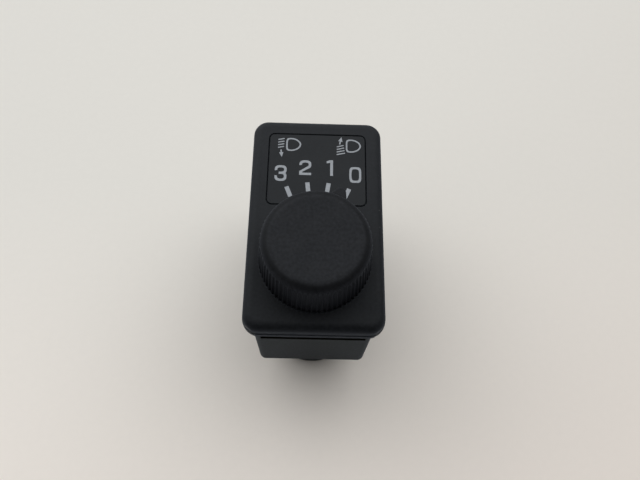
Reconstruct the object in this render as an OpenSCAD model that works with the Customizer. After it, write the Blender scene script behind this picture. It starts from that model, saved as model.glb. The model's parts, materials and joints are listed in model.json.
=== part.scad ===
// Headlight levelling switch: a dashboard rotary switch with a lit legend above its knob.
// X runs to the right across the face, Y up the face, and Z out of the face.
// The origin is under the middle of the bezel, on the surface that the rear drum stands on.

/* [Bezel] */
// Width of the bezel
bezel_w = 27.45; // [27:0.05:30]
// Height of the bezel
bezel_h = 46.4; // [46:0.1:47.6]
// Thickness of the bezel at its rim
bezel_t = 4.4; // [4:0.1:5]
// Thickness of the bezel's front, which is hollow behind
front_t = 2.6; // [2.4:0.1:3]
// Corner radius of the bezel seen from the front
bezel_corner_r = 3.3; // [2.8:0.1:3.8]
// Rounding of the bezel's front edge
bezel_edge_r = 1.8; // [1.2:0.1:2]
// How far the thin lip at the back of the rim stands out
bezel_lip = 0.15; // [0.1:0.05:0.3]
// Height of that lip
bezel_lip_h = 1.2; // [0.8:0.1:1.6]

/* [Legend window] */
// Width of the legend insert
legend_w = 19.9; // [18:0.1:20.4]
// Height of the legend insert
legend_h = 16.3; // [15:0.1:16.6]
// Thickness of the legend insert
legend_t = 1.6; // [1.2:0.1:1.8]
// Corner radius of the legend insert
legend_corner_r = 1; // [0.6:0.1:1.6]
// Open groove between the insert and the bezel
legend_gap = 0.3; // [0.25:0.05:0.4]
// Distance from the top of the bezel to the insert
legend_top = 3.92; // [3.6:0.02:4.2]
// Width of the ledge that carries the insert
legend_ledge = 2; // [1.9:0.1:2.4]

/* [Knob] */
// Diameter of the knob at its base
knob_d = 22; // [20:0.2:22.4]
// Height of the knob
knob_h = 9.8; // [9.4:0.1:11.4]
// Lean of the knob's side, in degrees
knob_draft = 4.7; // [4:0.1:8]
// Radius between the side and the top
knob_shoulder_r = 2.3; // [1.8:0.05:2.6]
// Distance of the knob's axis below the legend insert
knob_below = 11.7; // [11.4:0.05:12]
// Wall of the knob's skirt
knob_wall = 1.5; // [1.3:0.1:1.8]
// Thickness of the knob's top
knob_top_t = 1.6; // [1.3:0.1:2]
// Number of flutes round the knob
flute_count = 72; // [48:4:84]
// Depth of a flute
flute_depth = 0.26; // [0.15:0.01:0.3]
// Radius of the tool that cut a flute
flute_r = 0.42; // [0.36:0.02:0.5]
// How far the pointer stands out of the shoulder
pointer_reach = 2.2; // [2:0.05:2.8]
// Radius of the pointer's nose
pointer_nose_r = 1.2; // [0.9:0.1:1.4]
// Lean of the pointer's flanks, in degrees
pointer_flank = 28; // [18:1:32]
// Rounding of the pointer's upper edge
pointer_edge_r = 0.5; // [0.3:0.05:0.7]
// Diameter of the knob's hub
hub_d = 9; // [8.6:0.1:9.4]

/* [Case] */
// Width of the case
case_w = 23.8; // [23.4:0.1:24.6]
// Height of the case
case_h = 44.4; // [43.8:0.1:45]
// Depth of the case behind the bezel
case_d = 25.6; // [25.2:0.2:32]
// Wall of the case
wall = 1.4; // [1.3:0.1:1.5]
// Radius of the upright corners of the case
case_corner_r = 1.4; // [1.1:0.1:2]
// Rounding of the rear edges of the case
case_edge_r = 0.7; // [0.4:0.1:0.9]
// Diameter of the round drum behind the case
drum_d = 22.7; // [22.5:0.1:22.8]
// Length of the drum behind the case
drum_l = 12; // [11.6:0.1:13]
// Width of a panel latch
latch_w = 7; // [5:0.5:8]
// How far inside the bezel's side a panel latch ends, so that the bezel hides it
latch_shy = 0.325; // [0.1:0.025:0.8]
// Thickness of the dashboard panel that the latches hold
panel_t = 2.7; // [2:0.1:3.2]

/* [Rotary unit] */
// Diameter of the shaft
shaft_d = 6; // [5.8:0.1:6.1]
// Step between two settings, in degrees
step = 15; // [14:1:16]
// Radius of the ring of detent notches
detent_r = 6.9; // [6.7:0.1:7]
// Diameter of the detent ball
ball_d = 2.2; // [2:0.1:2.3]
// Depth of a detent notch, which is the ball's lift
notch_depth = 0.28; // [0.2:0.02:0.3]
// Diameter of the rotor
rotor_d = 17.6; // [17.2:0.1:17.8]
// Thickness of the rotor
rotor_t = 4; // [3.8:0.1:4.2]
// Thickness of the circuit board
board_t = 1.2; // [1:0.1:1.4]
// Wire of the detent spring
spring_wire = 0.25; // [0.2:0.01:0.3]

/* [Connector] */
// Width of the connector socket
socket_w = 14; // [13.6:0.1:14.2]
// Height of the connector socket
socket_h = 9; // [8.8:0.1:9.1]
// Depth of the connector socket
socket_d = 8.4; // [8:0.1:8.6]
// Wall of the connector socket
socket_wall = 1.1; // [1:0.05:1.15]
// Number of terminals
pin_count = 5; // [3:1:5]
// Distance between two terminals
pin_pitch = 2.6; // [2.4:0.1:2.8]
// Width of a terminal
pin_w = 1.5; // [1.2:0.1:1.6]
// Thickness of a terminal
pin_t = 0.64; // [0.5:0.02:0.8]

/* [Lamp] */
// Diameter of the lamp's glass
bulb_d = 5.1; // [4.8:0.1:5.2]
// Length of the lamp's glass above its base
bulb_l = 9.5; // [8.5:0.1:10]
// Diameter of the lamp holder's barrel
holder_d = 8.6; // [8.4:0.1:8.8]

/* [Hidden] */
$fn = 48;

// Clearances
run_gap = 0.05;               // between a turning piece and its bearing
press_gap = 0.02;             // left in the model where one piece is pressed on another
fit_gap = 0.1;                // between two moulded pieces that plug together
slack = 0.15;                 // round a small piece in its pocket
open_gap = 0.35;              // between the knob and the face, and round its hub
eps = 0.02;                   // how far a cutting tool passes the face it cuts
cut_over = 1;                 // how far a long tool stands out, or a rib goes into its roof

// Levels, from the surface it stands on up to the face
case_z = drum_l;
rim_z = case_z + case_d;
face_z = rim_z + bezel_t;
plate_low = face_z - front_t;
knob_z = face_z + open_gap;
floor_top = case_z + wall;

// Places in the face
legend_y = bezel_h / 2 - legend_top - legend_h / 2;
knob_y = legend_y - legend_h / 2 - knob_below;
window_w = legend_w - 2 * legend_ledge;
window_h = legend_h - 2 * legend_ledge;
window_r = 0.6;

// Knob
knob_r = knob_d / 2;
draft_slope = tan(knob_draft);
shoulder_z = knob_h - knob_shoulder_r;
side_top = shoulder_z + knob_shoulder_r * sin(knob_draft);
shoulder_r = knob_r - side_top * draft_slope - knob_shoulder_r * cos(knob_draft);
ridge_r = shoulder_r + knob_shoulder_r;
setting_angle = 1.5 * step;   // the knob points to its first setting, right of the middle
hub_r = hub_d / 2;
hub_under = 1.2;              // how far the hub reaches below the bezel's face
hub_drop = open_gap + hub_under;
roof_z = knob_h - knob_top_t;
roof_chamfer = 1;
rib_t = 1;
rib_count = 6;
rib_drop = 5.4;
flute_sides = 16;
pointer_run = 4;
pointer_sink = 0.3;
pointer_drop = 0.05;          // its top lies this far below the knob's shoulder
nose_stand = 0.05;            // its nose stands this far out of the flanks

// Knock on the bezel's lip
scuff_angles = [-14, 2, 15];
scuff_r = 1.6;
scuff_depth = 0.22;

// Skirt of the bezel, which plugs into the case, with its hooks and its collar
plug_t = 1.2;
plug_l = 5;
plug_r = 0.5;
plug_bridge = 0.6;            // left of the skirt above each latch
plug_w = case_w - 2 * wall - 2 * fit_gap;
plug_h = case_h - 2 * wall - 2 * fit_gap;
hook_w = 3.6;
hook_out = 0.6;
hook_h = 1.3;
hook_tip = 0.2;
hook_under = 3.6;
hook_z = rim_z - hook_under;
hook_y = 15.5;
collar_in = hub_r + open_gap;
collar_t = 1.2;
collar_l = 3;
rebate_d = 0.4;               // the case's rim sits this deep in the bezel's underside

// Shallow recess in each end wall of the case, from a ledge up to the rim
relief_w = 21;
relief_in = 0.4;
relief_l = 5.8;

// Shaft, and the flat that drives the knob
shaft_r = shaft_d / 2;
shaft_chamfer = 0.5;
shaft_foot = 0.4;             // the rotor reaches this far below the shaft's end
flat_y = 2;                   // from the axis to the flat
clip_t = 0.3;
clip_w = 3.7;
clip_leaf = 5.4;
clip_foot = 1.5;
clip_gap = 0.03;
clip_z = knob_z - hub_drop - clip_t;
shaft_top_gap = 0.5;          // between the end of the shaft and the inside of the knob
shaft_top = knob_z + roof_z - shaft_top_gap;
flat_under = 0.4;             // the flat starts this far below the clip
flat_z = clip_z - flat_under;

// Drum, from its open end up
drum_r = drum_d / 2;
drum_wall = 1.2;
bore_r = drum_r - drum_wall;  // lower bore, for the base and the board
ledge_w = 0.55;
track_r = bore_r - ledge_w;   // upper bore, for the rotor
base_z = 0.6;
base_t = 2.4;
socket_roof = 1.4;
socket_top = base_z + socket_d;
chip_room = 1.4;
board_z = socket_top + socket_roof + chip_room;
board_top = board_z + board_t;
board_r = bore_r - fit_gap - slack;
copper_t = 0.12;
wiper_room = 1.7;
rotor_z = board_top + wiper_room;
rotor_top = rotor_z + rotor_t;
plate_t = 0.8;
plate_gap = 0.7;
plate_z = rotor_top + plate_gap;
ceiling_z = plate_z + plate_t;
ceiling_t = 1.6;

// Bush of the shaft, with the washer and the ring above it
bush_in = shaft_r + run_gap;
bush_wall = 1.2;
bush_r = bush_in + bush_wall;
bush_boss_wall = 1.6;
bush_boss_r = bush_r + bush_boss_wall;
bush_stand = 3.2;
bush_top = ceiling_z + ceiling_t + bush_stand;
flange_t = 0.8;
flange_out = 1;
washer_t = 0.4;
ring_t = 0.6;
ring_over = 0.4;              // stands out past the bush
ring_z = bush_top + flange_t + washer_t + 2 * run_gap;
ring_mouth = 3;
ring_ear_r = 0.55;
ring_ear_angles = [215, 325];
groove_d = 0.6;
groove_r = shaft_r - groove_d;

// Base screws and the bosses that they bite in
boss_r = 2.1;
boss_tuck = 0.2;              // how far a boss reaches into the drum's wall
screw_y = bore_r - boss_r + boss_tuck;
screw_r = 1;
screw_tip = 0.6;
head_r = 1.7;
head_t = 1.1;
screw_l = 8;
slot_l = 1.9;
slot_w = 0.4;
slot_d = 0.55;
post_r = 0.9;
post_x = 5.2;
post_y = 7.4;

// Rotor, its lug and the two stops in the drum
rotor_r = rotor_d / 2;
rotor_neck_wall = 1.2;
rotor_neck_r = shaft_r + rotor_neck_wall;
stop_angle = 3 * step;        // from the first setting to the last
lug_half = 7;
lug_out = 0.5;
lug_root = 1;                 // how far the lug reaches into the rotor
lug_h = 2.4;
lug_slack = 1;
stop_width = 10;
stop_h = 2.6;
first_lug = 270 - stop_angle / 2;
core_r = 1.3;                 // round cores that lighten the rotor
core_ring_r = 5.9;
core_depth = 2;
core_angles = [60, 150, 240, 330];

// Detent: ball, spring pocket, and the pegs that hold the notched plate
ball_r = ball_d / 2;
ball_z = plate_z - run_gap - ball_r;
notch_ease = 0.1;
notch_r = ball_r + notch_ease;
pocket_d = 3.3;
pocket_z = rotor_top - pocket_d;
coil_turns = 4;
coil_sides = 6;
coil_steps = 14;
coil_closing = 1.4;
ball_seat = 0.8;              // where the coil meets the ball, as a share of its radius
peg_r = 0.75;
peg_ring_r = 8.05;
peg_angles = [100, 180, 260];
peg_head = 0.25;

// Wiper: three fingers on one bar, and the tracks that they run on
wiper_t = 0.3;
wiper_gap = 0.2;              // round the shaft
wiper_ring_r = 5.2;
wiper_rows = [5, 6.5, 8];
wiper_angle = 200;
finger_w = 0.9;
finger_half = 2.1;
finger_root = 0.4;
tip_r = 0.35;
toe_l = 0.8;
toe_rise = 0.3;
toe_t = 0.2;
bar_in = 3;
bar_w = 1.3;
pin_ring_r = 4.1;
rivet_r = 0.45;
rivet_stand = 0.25;
track_w = 1.1;
track_over = 12;
track_gap = 3;

// Terminals, in one row off the middle of the socket
pin_edge = 2.2;
pin_y = socket_h / 2 - pin_edge;
pin_low = 1.4;
pin_taper = 0.8;
pin_tip_w = 0.7;
pin_hole_r = 0.55;
key_w = 3.6;
key_d = 0.5;
key_short = 1;                // the key way ends before the socket does
chip = [2, 1.25, 0.5];
chip_pitch = 4;

// Panel latches, moulded in the case
latch_slot = 0.8;
latch_out = (bezel_w - case_w) / 2 - latch_shy;
latch_inset = 0.5;            // nose narrower than its tongue, on each side
latch_top = rim_z - panel_t;
latch_over = 0.8;             // stands above the nose
latch_l = 12;
latch_lead = 6.5;
latch_nose_h = 0.9;
latch_tip = 0.3;

// Lamp and its holder
lamp_y = legend_y;
barrel_r = holder_d / 2;
barrel_gap = 0.2;
barrel_hole_r = barrel_r + barrel_gap;
barrel_stand = 5.6;
barrel_top = floor_top + barrel_stand;
cap_t = 1.4;
cap_out = 1.3;
grip_h = 2.4;
grip_w = 2.4;
ear_out = 1.4;
ear_w = 2.4;
ear_t = 1.2;
ear_angle = 45;
bulb_r = bulb_d / 2;
bulb_stand = 0.8;
bulb_foot_z = floor_top + bulb_stand;
bulb_foot_t = 2;
bulb_foot_in = 0.2;           // foot narrower than the glass, on each side
bulb_foot_l = 3.6;
bulb_z = bulb_foot_z + bulb_foot_l;
contact_t = 0.3;
contact_w = 1.6;
contact_in = barrel_r - contact_t + eps;
strip_t = 0.4;
strip_w = 1.6;
strip_x = 2.5;
strip_off = 1.8;
strip_out_x = barrel_r + strip_off;
strip_toe = 0.5;
strip_reach = sqrt(pow(track_r - fit_gap, 2) - pow(strip_x + strip_w / 2, 2));

// Light guide, and the peg that holds it
guide_w = plug_w - 2 * plug_t - 2 * fit_gap;
guide_flange = 0.6;
guide_flange_t = 1;
guide_tip_w = 9;
guide_tip_h = 7.4;
guide_gap = 1.2;
guide_r = 0.3;
tab_w = 5;
tab_l = 1.8;
guide_peg_r = 0.75;
guide_peg_off = 1.5;
guide_peg_y = legend_y - window_h / 2 - guide_flange - guide_peg_off;
stake_t = 0.4;

// Plan shape: a rectangle with round corners
module plan(w, h, r) {
    square([w - 2 * r, h], center = true);
    square([w, h - 2 * r], center = true);
    for (sx = [-1, 1], sy = [-1, 1])
        translate([sx * (w / 2 - r), sy * (h / 2 - r)]) circle(r);
}

// Section of a slab whose upper outer edge is rounded
module eased(w, h, r) {
    square([w, h - r]);
    square([w - r, h]);
    translate([w - r, h - r]) intersection() {
        circle(r);
        square(r);
    }
}

// Slab with round corners in plan and a rounded upper edge all round
module soft_slab(w, h, t, corner, edge) {
    module section(half) {
        translate([-half, 0]) square([2 * half, t - edge]);
        translate([edge - half, 0]) square([2 * (half - edge), t]);
        for (s = [-1, 1]) translate([s * (half - edge), t - edge]) circle(edge);
    }
    rotate([90, 0, 0]) linear_extrude(h - 2 * corner, center = true) section(w / 2);
    rotate([90, 0, 90]) linear_extrude(w - 2 * corner, center = true) section(h / 2);
    for (sx = [-1, 1], sy = [-1, 1])
        translate([sx * (w / 2 - corner), sy * (h / 2 - corner), 0])
            rotate_extrude() eased(corner, t, edge);
}

module tube(outer, inner, l) {
    difference() {
        cylinder(r = outer, h = l);
        translate([0, 0, -eps]) cylinder(r = inner, h = l + 2 * eps);
    }
}

// Sector of a ring, from angle a0 to a1
module ring_sector(inner, outer, h, a0, a1) {
    rotate(a0) rotate_extrude(angle = a1 - a0) translate([inner, 0]) square([outer - inner, h]);
}

module on_side(side) {
    mirror([side < 0 ? 1 : 0, 0, 0]) children();
}

module at_knob() {
    translate([0, knob_y, 0]) children();
}

module at_lamp() {
    translate([0, lamp_y, 0]) children();
}

// Skirt of the bezel: it plugs into the case, and its hooks snap into the case's windows
module bezel_plug() {
    latch_room = latch_w + 2 * latch_slot + 2 * latch_inset;
    translate([0, 0, rim_z - plug_l]) difference() {
        linear_extrude(plug_l + eps) difference() {
            plan(plug_w, plug_h, plug_r);
            plan(plug_w - 2 * plug_t, plug_h - 2 * plug_t, plug_r);
        }
        translate([-bezel_w, -latch_room / 2, -eps])
            cube([2 * bezel_w, latch_room, plug_l - plug_bridge + eps]);
    }
    for (s = [-1, 1], y = [-hook_y, hook_y])
        translate([s * plug_w / 2, y, hook_z]) on_side(s)
            rotate([90, 0, 0]) linear_extrude(hook_w, center = true)
                polygon([[-eps, -hook_h], [0, -hook_h], [hook_out, -hook_tip], [hook_out, 0], [-eps, 0]]);
}

// Peg with a melted head, which holds the light guide up against the bezel
module guide_peg() {
    translate([0, guide_peg_y, plate_low - guide_flange_t - stake_t]) {
        cylinder(r = guide_peg_r, h = guide_flange_t + stake_t + eps);
        cylinder(r = guide_peg_r + stake_t, h = stake_t);
    }
}

// Knock on the lip at the lower right corner
module corner_scuff() {
    off = bezel_corner_r * (1 - cos(45));
    translate([bezel_w / 2 - off, off - bezel_h / 2, rim_z - eps])
        for (a = scuff_angles)
            rotate(a - 45) translate([scuff_r - scuff_depth, scuff_r * sin(a), 0])
                cylinder(r = scuff_r, h = bezel_lip_h / 2);
}

// Rim and front of the bezel, hollow behind, with a rebate for the rim of the case
module bezel_shell() {
    difference() {
        translate([0, 0, rim_z]) {
            soft_slab(bezel_w - 2 * bezel_lip, bezel_h - 2 * bezel_lip, bezel_t,
                      bezel_corner_r - bezel_lip, bezel_edge_r);
            linear_extrude(bezel_lip_h) plan(bezel_w, bezel_h, bezel_corner_r);
        }
        translate([0, 0, rim_z - eps]) linear_extrude(rebate_d + eps) difference() {
            plan(case_w + 2 * fit_gap, case_h + 2 * fit_gap, case_corner_r + fit_gap);
            plan(plug_w + fit_gap, plug_h + fit_gap, plug_r);
        }
        translate([0, 0, rim_z - eps]) linear_extrude(plate_low - rim_z + eps)
            plan(plug_w - 2 * plug_t, plug_h - 2 * plug_t, plug_r);
    }
}

// Bezel: shell, legend recess, knob opening, and the skirt that plugs into the case
module bezel() {
    color([0.16, 0.16, 0.17]) difference() {
        union() {
            bezel_shell();
            bezel_plug();
            guide_peg();
            at_knob() translate([0, 0, plate_low - collar_l])
                cylinder(r = collar_in + collar_t, h = collar_l + eps);
        }
        translate([0, legend_y, face_z - legend_t])
            linear_extrude(legend_t + eps)
                plan(legend_w + 2 * legend_gap, legend_h + 2 * legend_gap,
                     legend_corner_r + legend_gap);
        translate([0, legend_y, plate_low - eps])
            linear_extrude(front_t) plan(window_w, window_h, window_r);
        at_knob() translate([0, 0, plate_low - collar_l - eps])
            cylinder(r = collar_in, h = front_t + collar_l + 2 * eps);
        corner_scuff();
    }
}

module legend_panel() {
    color([0.17, 0.18, 0.19]) translate([0, legend_y, face_z - legend_t])
        linear_extrude(legend_t) plan(legend_w, legend_h, legend_corner_r);
}

// Light guide: a clear block that spreads the lamp's light under the whole legend
module guide_flange_plan() {
    difference() {
        union() {
            plan(guide_w, window_h + 2 * guide_flange, guide_r);
            translate([0, guide_peg_y - legend_y]) plan(tab_w, 2 * tab_l, 1);
        }
        translate([0, guide_peg_y - legend_y]) circle(guide_peg_r + run_gap);
    }
}

module guide_funnel(top_w, top_h, h) {
    intersection() {
        rotate([90, 0, 0]) linear_extrude(legend_h, center = true)
            polygon([[-guide_tip_w / 2, 0], [guide_tip_w / 2, 0], [top_w / 2, h], [-top_w / 2, h]]);
        rotate([90, 0, 90]) linear_extrude(legend_w, center = true)
            polygon([[-guide_tip_h / 2, 0], [guide_tip_h / 2, 0], [top_h / 2, h], [-top_h / 2, h]]);
    }
}

module light_guide() {
    top_w = window_w - 2 * fit_gap;
    top_h = window_h - 2 * fit_gap;
    tip_z = bulb_z + bulb_l + guide_gap;
    flange_z = plate_low - guide_flange_t;
    color([0.86, 0.9, 0.92]) translate([0, legend_y, 0]) difference() {
        union() {
            translate([0, 0, plate_low - eps]) linear_extrude(front_t - legend_t + eps)
                plan(top_w, top_h, window_r - fit_gap);
            translate([0, 0, flange_z]) linear_extrude(guide_flange_t) guide_flange_plan();
            translate([0, 0, tip_z]) guide_funnel(top_w, top_h, flange_z - tip_z);
        }
        translate([0, 0, tip_z - guide_gap]) sphere(r = bulb_r);
    }
}

// Case: a box open to the bezel, with the drum of the rotary unit let into its floor
module case_shell() {
    difference() {
        translate([0, 0, rim_z + rebate_d]) mirror([0, 0, 1])
            soft_slab(case_w, case_h, case_d + rebate_d, case_corner_r, case_edge_r);
        translate([0, 0, floor_top])
            linear_extrude(case_d) plan(case_w - 2 * wall, case_h - 2 * wall, window_r);
        for (s = [-1, 1])
            translate([-relief_w / 2, s * case_h / 2 - relief_in, rim_z - relief_l])
                cube([relief_w, 2 * relief_in, relief_l + rebate_d + eps]);
    }
}

module drum_walls() {
    at_knob() {
        cylinder(r = drum_r, h = ceiling_z + ceiling_t);
        translate([0, 0, ceiling_z]) cylinder(r = bush_boss_r, h = bush_top - ceiling_z);
    }
}

// Fixed stop at one end of the rotor lug's sweep: below it (-1) or above it (1)
module setting_stop(side) {
    reach = stop_angle / 2 + lug_half + lug_slack;
    near = 270 + side * reach;
    far = near + side * stop_width;
    ring_sector(rotor_r + slack, track_r + eps, stop_h, min(near, far), max(near, far));
}

module drum_bores() {
    at_knob() {
        difference() {
            union() {
                translate([0, 0, -eps]) cylinder(r = bore_r, h = board_top + eps);
                cylinder(r = track_r, h = ceiling_z);
            }
            for (s = [-1, 1]) {
                translate([0, s * screw_y, base_z + base_t + eps])
                    cylinder(r = boss_r, h = board_z - base_z - base_t - 2 * slack);
                translate([0, 0, rotor_z + fit_gap]) setting_stop(s);
            }
            for (a = peg_angles) rotate(a) translate([peg_ring_r, 0, plate_z - peg_head])
                cylinder(r = peg_r, h = plate_t + peg_head + eps);
        }
        cylinder(r = bush_r + press_gap, h = bush_top + eps);
        for (s = [-1, 1]) translate([0, s * screw_y, base_z])
            cylinder(r = screw_r + press_gap, h = screw_l + screw_tip);
    }
}

// Slots round three sides of a latch, which leave it as a springy tongue
module latch_slots(side) {
    low = latch_top - latch_l;
    high = latch_top + latch_over;
    translate([side * (case_w - wall) / 2 - wall, 0, 0]) {
        for (y = [-latch_w / 2 - latch_slot, latch_w / 2])
            translate([0, y, low]) cube([2 * wall, latch_slot, high - low + latch_slot]);
        translate([0, -latch_w / 2 - latch_slot, high])
            cube([2 * wall, latch_w + 2 * latch_slot, latch_slot]);
    }
}

module latch_nose(side) {
    translate([side * case_w / 2, 0, latch_top]) on_side(side)
        rotate([90, 0, 0]) linear_extrude(latch_w - 2 * latch_inset, center = true)
            polygon([[-latch_tip, -latch_lead], [0, -latch_lead], [latch_out, -latch_nose_h],
                     [latch_out, -latch_tip], [latch_out - latch_tip, 0], [-latch_tip, 0]]);
}

// Opening for the lamp holder's barrel and its two ears
module lamp_opening() {
    reach = barrel_r + ear_out + slack;
    at_lamp() translate([0, 0, case_z - eps]) {
        cylinder(r = barrel_hole_r, h = wall + 2 * eps);
        translate([-ear_w / 2 - slack, -reach, 0]) cube([ear_w + 2 * slack, 2 * reach, wall + 2 * eps]);
    }
}

module strip_slot(side) {
    from = knob_y + strip_reach - strip_t - slack;
    to = knob_y + drum_r + slack;
    translate([side * strip_x - strip_w / 2 - slack, from, floor_top])
        cube([strip_w + 2 * slack, to - from, strip_t + slack]);
}

module housing() {
    color([0.18, 0.18, 0.18]) difference() {
        union() {
            case_shell();
            drum_walls();
            for (s = [-1, 1]) latch_nose(s);
        }
        drum_bores();
        lamp_opening();
        for (s = [-1, 1]) {
            latch_slots(s);
            strip_slot(s);
            for (y = [-hook_y, hook_y])
                translate([s * case_w / 2 - wall, y - hook_w / 2 - slack, hook_z - hook_h - slack])
                    cube([2 * wall, hook_w + 2 * slack, hook_h + 2 * slack]);
        }
    }
}

// Knob: revolved body with a leaning, fluted side, a rounded shoulder and a pointer
module knob_profile() {
    polygon([[0, 0], [knob_r, 0], [knob_r - side_top * draft_slope, side_top],
             [shoulder_r, shoulder_z], [shoulder_r, knob_h], [0, knob_h]]);
    translate([shoulder_r, shoulder_z]) circle(knob_shoulder_r);
}

// Pointer: a round nose between two flared flanks, all with one rounded upper edge
module knob_pointer() {
    nose = pointer_nose_r;
    nose_x = ridge_r + pointer_reach - nose;
    top = shoulder_z - pointer_drop;
    inward = 2 * (nose + pointer_run);
    sunk_r = knob_r - flute_depth - pointer_sink;
    tool_h = knob_h + cut_over;
    module flank() {
        intersection() {
            rotate(90 - pointer_flank) translate([nose - nose_stand - inward, pointer_run, 0])
                rotate([90, 0, 0]) linear_extrude(pointer_run) eased(inward, top, pointer_edge_r);
            translate([-inward, 0, 0]) cube([2 * inward, inward, top]);
        }
    }
    difference() {
        rotate(90 - setting_angle) translate([nose_x, 0, 0]) {
            rotate_extrude() eased(nose, top, pointer_edge_r);
            flank();
            mirror([0, 1, 0]) flank();
        }
        translate([0, 0, -eps]) cylinder(r1 = sunk_r, r2 = sunk_r - tool_h * draft_slope, h = tool_h);
    }
}

module knob_flutes() {
    for (i = [0 : flute_count - 1])
        rotate(i * 360 / flute_count) translate([knob_r - flute_depth + flute_r, 0, 0])
            rotate([0, -knob_draft, 0]) translate([0, 0, -cut_over])
                cylinder(r = flute_r, h = knob_h + 2 * cut_over, $fn = flute_sides);
}

module knob_inside() {
    inner_r = knob_r - knob_wall;
    translate([0, 0, -eps]) difference() {
        rotate_extrude()
            polygon([[0, 0], [inner_r, 0],
                     [inner_r - (roof_z - roof_chamfer) * draft_slope, roof_z - roof_chamfer],
                     [inner_r - roof_z * draft_slope - roof_chamfer, roof_z + eps], [0, roof_z + eps]]);
        cylinder(r = hub_r, h = knob_h);
        for (i = [0 : rib_count - 1]) rotate(i * 360 / rib_count)
            translate([0, -rib_t / 2, roof_z - rib_drop]) cube([knob_r, rib_t, rib_drop + cut_over]);
    }
}

// Blind hole in the hub, with a flat that leaves room for the clip
module knob_bore() {
    flat = flat_y + clip_t + 2 * clip_gap;
    translate([0, 0, -hub_drop - eps]) difference() {
        cylinder(r = shaft_r + run_gap, h = hub_drop + roof_z + eps);
        translate([-knob_r, flat, 0]) cube([2 * knob_r, knob_r, knob_h + hub_drop]);
    }
}

module knob() {
    color([0.15, 0.15, 0.16]) at_knob() translate([0, 0, knob_z]) difference() {
        union() {
            difference() {
                rotate_extrude() knob_profile();
                knob_flutes();
                knob_inside();
            }
            knob_pointer();
            translate([0, 0, -hub_drop]) cylinder(r = hub_r, h = roof_z + hub_drop);
        }
        knob_bore();
    }
}

// Leaf spring between the shaft's flat and the hub, turned out under the hub's rim
module knob_clip() {
    foot_t = clip_t - press_gap;
    color([0.75, 0.76, 0.78]) at_knob() translate([0, flat_y + clip_gap, clip_z])
        rotate([90, 0, 90]) linear_extrude(clip_w, center = true)
            polygon([[0, 0], [clip_foot, 0], [clip_foot, foot_t], [clip_t, foot_t],
                     [clip_t, clip_leaf], [0, clip_leaf]]);
}

module shaft() {
    low = rotor_z + shaft_foot;
    color([0.7, 0.71, 0.73]) at_knob() difference() {
        union() {
            translate([0, 0, low]) cylinder(r = shaft_r, h = shaft_top - shaft_chamfer - low);
            translate([0, 0, shaft_top - shaft_chamfer])
                cylinder(r1 = shaft_r, r2 = shaft_r - shaft_chamfer, h = shaft_chamfer);
        }
        translate([-shaft_r - eps, flat_y, flat_z])
            cube([2 * shaft_r + 2 * eps, shaft_r, shaft_top - flat_z + eps]);
        translate([0, 0, ring_z - run_gap]) tube(bush_r, groove_r, ring_t + 2 * run_gap);
    }
}

module shaft_bush() {
    color([0.78, 0.62, 0.3]) at_knob() translate([0, 0, ceiling_z]) difference() {
        union() {
            cylinder(r = bush_r, h = bush_top - ceiling_z + eps);
            translate([0, 0, bush_top - ceiling_z]) cylinder(r = bush_r + flange_out, h = flange_t);
        }
        translate([0, 0, -eps]) cylinder(r = bush_in, h = bush_top + flange_t - ceiling_z + 2 * eps);
    }
}

module thrust_washer() {
    color([0.9, 0.89, 0.84]) at_knob() translate([0, 0, bush_top + flange_t + run_gap])
        tube(bush_r + flange_out - 2 * slack, shaft_r + fit_gap, washer_t);
}

// Retaining ring, pushed on from the side into the shaft's groove
module e_ring() {
    outer = bush_r + ring_over;
    color([0.6, 0.61, 0.63]) at_knob() translate([0, 0, ring_z]) linear_extrude(ring_t)
        difference() {
            circle(outer);
            circle(groove_r + press_gap);
            translate([-ring_mouth / 2, 0]) square([ring_mouth, outer + cut_over]);
            for (a = ring_ear_angles) rotate(a) translate([shaft_r - slack - eps, 0]) circle(ring_ear_r);
        }
}

// Rotor: carries the wiper below and the sprung ball above, and turns between two stops
module rotor() {
    color([0.9, 0.9, 0.87]) at_knob() {
        difference() {
            union() {
                translate([0, 0, rotor_z]) cylinder(r = rotor_r, h = rotor_t);
                translate([0, 0, rotor_top - eps])
                    cylinder(r = rotor_neck_r, h = ceiling_z - run_gap - rotor_top + eps);
                translate([0, 0, rotor_z])
                    ring_sector(rotor_r - lug_root, rotor_r + lug_out, lug_h,
                                first_lug - lug_half, first_lug + lug_half);
            }
            translate([0, 0, rotor_z - eps]) cylinder(r = shaft_r + press_gap, h = ceiling_z - rotor_z);
            translate([detent_r, 0, pocket_z]) cylinder(r = ball_r + run_gap, h = rotor_top - pocket_z + eps);
            for (a = core_angles) rotate(a) translate([core_ring_r, 0, rotor_top - core_depth])
                cylinder(r = core_r, h = core_depth + eps);
        }
        for (a = [90, 270])
            rotate(wiper_angle + a) translate([pin_ring_r, 0, rotor_z - wiper_t - rivet_stand])
                cylinder(r = rivet_r, h = wiper_t + rivet_stand + eps);
    }
}

// Detent plate: staked under the ceiling, with one round notch for each setting
module detent_plate() {
    color([0.72, 0.73, 0.75]) at_knob() difference() {
        translate([0, 0, plate_z]) tube(track_r - fit_gap, rotor_neck_r + 2 * slack, plate_t);
        for (i = [0 : 3]) rotate(i * step)
            translate([detent_r, 0, plate_z + notch_depth - notch_r]) sphere(r = notch_r);
        for (a = peg_angles) rotate(a) translate([peg_ring_r, 0, plate_z - eps])
            cylinder(r = peg_r + run_gap, h = plate_t + 2 * eps);
    }
}

module detent_ball() {
    color([0.8, 0.81, 0.83]) at_knob() translate([detent_r, 0, ball_z]) sphere(r = ball_r);
}

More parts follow.
